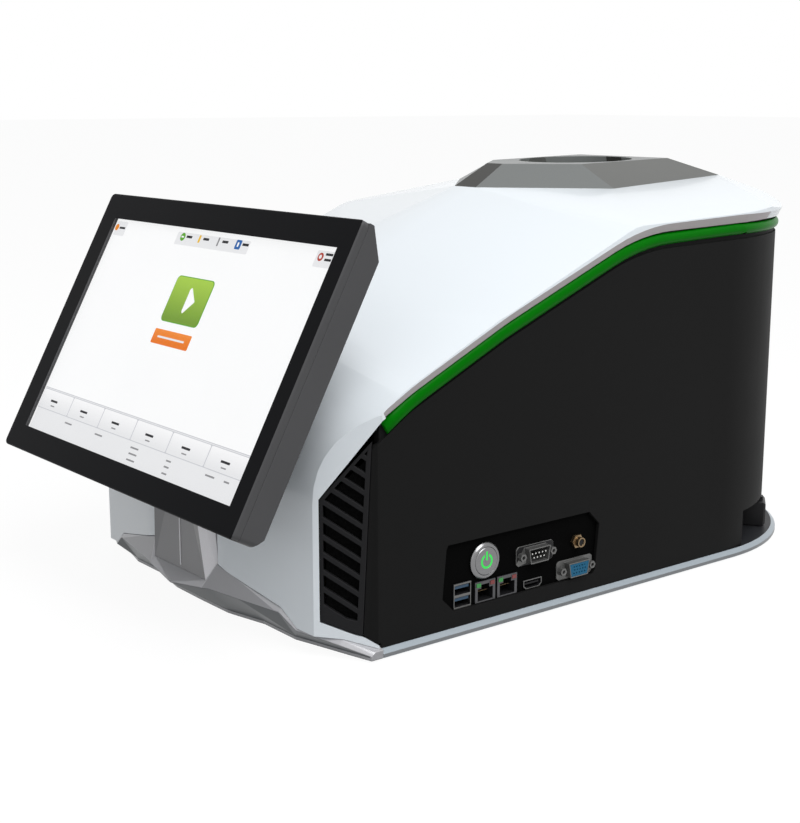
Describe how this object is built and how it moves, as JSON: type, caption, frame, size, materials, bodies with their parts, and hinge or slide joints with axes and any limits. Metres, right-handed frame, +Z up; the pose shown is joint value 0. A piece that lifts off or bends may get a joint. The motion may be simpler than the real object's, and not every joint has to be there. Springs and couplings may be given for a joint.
{
  "type": "benchtop nmr spectrometer",
  "caption": "Bench spectrometer: sloping white hood with a faceted sample port, dark body with side connectors, and a tilting touch screen on a front column.",
  "frame": {"origin": "middle of the bounding box's underside, on the bench between the feet", "axes": "+X to the user's right, +Y from the screen to the rear, +Z up"},
  "size_m": [0.3, 0.5276, 0.268],
  "materials": {
    "base_paint": "satin",
    "chin_paint": "satin",
    "hood_white": "gloss",
    "cover_black": "fine texture",
    "grille_grey": "satin",
    "accent_green": "gloss",
    "bezel_metal": "satin",
    "dish_dark": "satin",
    "collar_metal": "satin",
    "tube_glass": "clear",
    "yoke_steel": "satin",
    "magnet_nickel": "bright",
    "probe_plastic": "matt",
    "coil_copper": "bright",
    "board_green": "satin",
    "part_black": "matt",
    "standoff_brass": "bright",
    "case_steel": "satin",
    "plate_black": "satin",
    "button_steel": "bright",
    "light_green": "lit",
    "socket_steel": "bright",
    "contact_gilt": "bright",
    "insert_blue": "satin",
    "lamp_yellow": "satin",
    "inlet_black": "satin",
    "fan_black": "satin",
    "bezel_black": "satin",
    "screen_glass": "clear",
    "picture": "lit",
    "cover_grey": "satin",
    "bracket_steel": "satin",
    "pin_steel": "satin",
    "rubber_black": "matt",
    "foam_black": "matt",
    "screw_steel": "bright"
  },
  "bodies": {
    "base": {"base_tray": "base_paint", "tray_screws": "screw_steel", "feet": "rubber_black", "front_chin": "chin_paint", "screen_column": "chin_paint", "hinge_pin": "pin_steel", "hood_shell": "hood_white", "wrap_cover": "cover_black", "accent_strip": "accent_green", "vent_grille_right": "grille_grey", "vent_grille_left": "grille_grey", "vent_filter_right": "foam_black", "vent_filter_left": "foam_black", "top_bezel": "bezel_metal", "sample_dish": "dish_dark", "sample_collar": "collar_metal", "bore_liner": "tube_glass", "magnet_yoke": "yoke_steel", "magnet_blocks": "magnet_nickel", "magnet_plate_lower": "yoke_steel", "magnet_plate_upper": "yoke_steel", "magnet_mounts": "rubber_black", "probe_body": "probe_plastic", "receiver_coil": "coil_copper", "main_board": "board_green", "board_parts": "part_black", "board_standoffs": "standoff_brass", "power_module": "case_steel", "port_plate": "plate_black", "port_board": "board_green", "button_bezel": "button_steel", "serial_socket": "socket_steel", "serial_pins": "contact_gilt", "video_socket": "socket_steel", "video_insert": "insert_blue", "jackscrews": "screw_steel", "radio_jack": "contact_gilt", "network_jacks": "socket_steel", "jack_lights": "lamp_yellow", "usb_stack": "socket_steel", "usb_tongues": "insert_blue", "hdmi_socket": "socket_steel", "inlet_bracket": "inlet_black", "power_inlet": "inlet_black", "fan_frame": "fan_black"},
    "screen": {"screen_frame": "bezel_black", "screen_glass": "screen_glass", "display_panel": "picture", "screen_cover": "cover_grey", "screen_board": "board_green", "screen_bracket": "bracket_steel"},
    "button": {"button_cap": "button_steel", "button_light": "light_green"},
    "fan": {"fan_rotor": "fan_black"}
  },
  "joints": [
    {"name": "screen_tilt", "type": "hinge", "parent": "base", "child": "screen", "pos_m": [0, -0.21232, 0.11651], "axis": [1, 0, 0], "range_deg": [-5, 25]},
    {"name": "power_button", "type": "slide", "parent": "base", "child": "button", "axis": [-1, 0, 0], "range_m": [0, 0.0015], "stiffness_N_per_m": 2000},
    {"name": "fan_spin", "type": "hinge", "parent": "base", "child": "fan", "pos_m": [0, 0.22988, 0.12], "axis": [0, 1, 0], "continuous": true}
  ]
}
